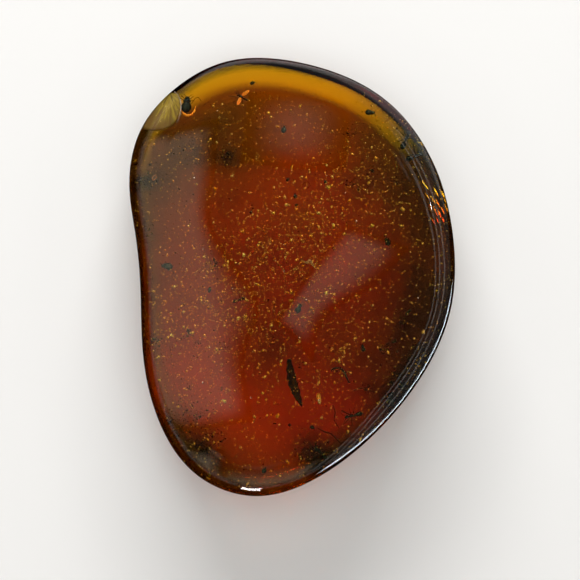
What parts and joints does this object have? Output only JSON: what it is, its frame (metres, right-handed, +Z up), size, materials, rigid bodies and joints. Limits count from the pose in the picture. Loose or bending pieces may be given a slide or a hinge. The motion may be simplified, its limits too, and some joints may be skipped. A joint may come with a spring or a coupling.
{
  "type": "insects in amber nugget",
  "caption": "Polished kidney-shaped nugget of see-through brown-orange amber with small insects, plant bits and fine debris sealed inside, lying on its flat underside.",
  "frame": {"origin": "middle of the box's underside, on the flat face that the nugget lies on", "axes": "+Y along the nugget's length towards its thin end, +X towards its beveled edge, +Z up through its thickness"},
  "size_m": [0.0472, 0.064, 0.016],
  "materials": {
    "amber": "polished, see-through fossil resin, brown-orange, with faint polishing scratches",
    "insects": "dark brown to black fossil insect bodies, legs and wings",
    "debris": "fine golden and brown plant and dust debris sealed in the resin"
  },
  "bodies": {
    "root": {"amber_nugget": "amber"}
  },
  "joints": []
}
